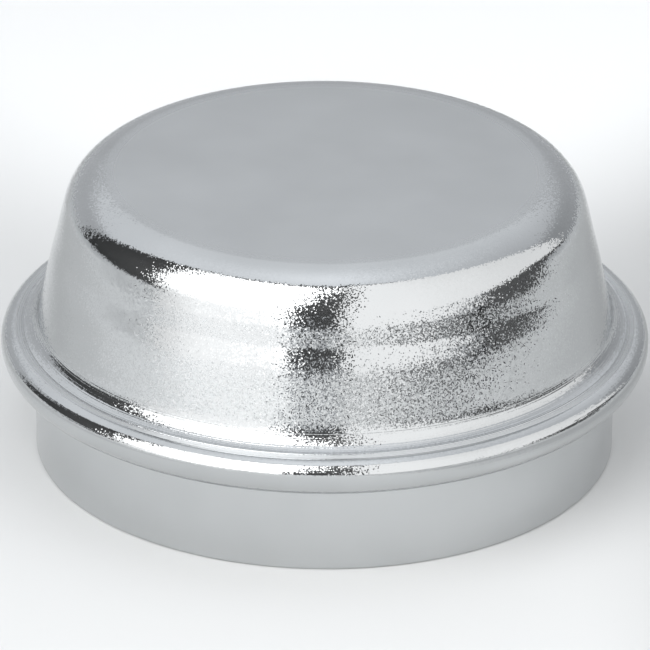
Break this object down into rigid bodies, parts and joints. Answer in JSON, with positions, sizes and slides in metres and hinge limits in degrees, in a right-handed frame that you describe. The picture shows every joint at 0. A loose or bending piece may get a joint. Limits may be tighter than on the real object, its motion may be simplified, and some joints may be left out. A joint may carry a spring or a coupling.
{
  "type": "hub grease cap",
  "caption": "Round pressed-steel grease cap: tapered crown, folded bead that seats on the hub's face, and a plain skirt that presses into the hub's bore.",
  "frame": {"origin": "centre of the circle that the skirt's rim stands on", "axes": "+Z along the cap's axis, from the rim towards the crowned top"},
  "size_m": [0.062, 0.062, 0.0282],
  "materials": {
    "zinc_plate": "bright zinc electroplate on drawn sheet steel"
  },
  "bodies": {
    "root": {"grease_cap": "zinc_plate"}
  },
  "joints": []
}
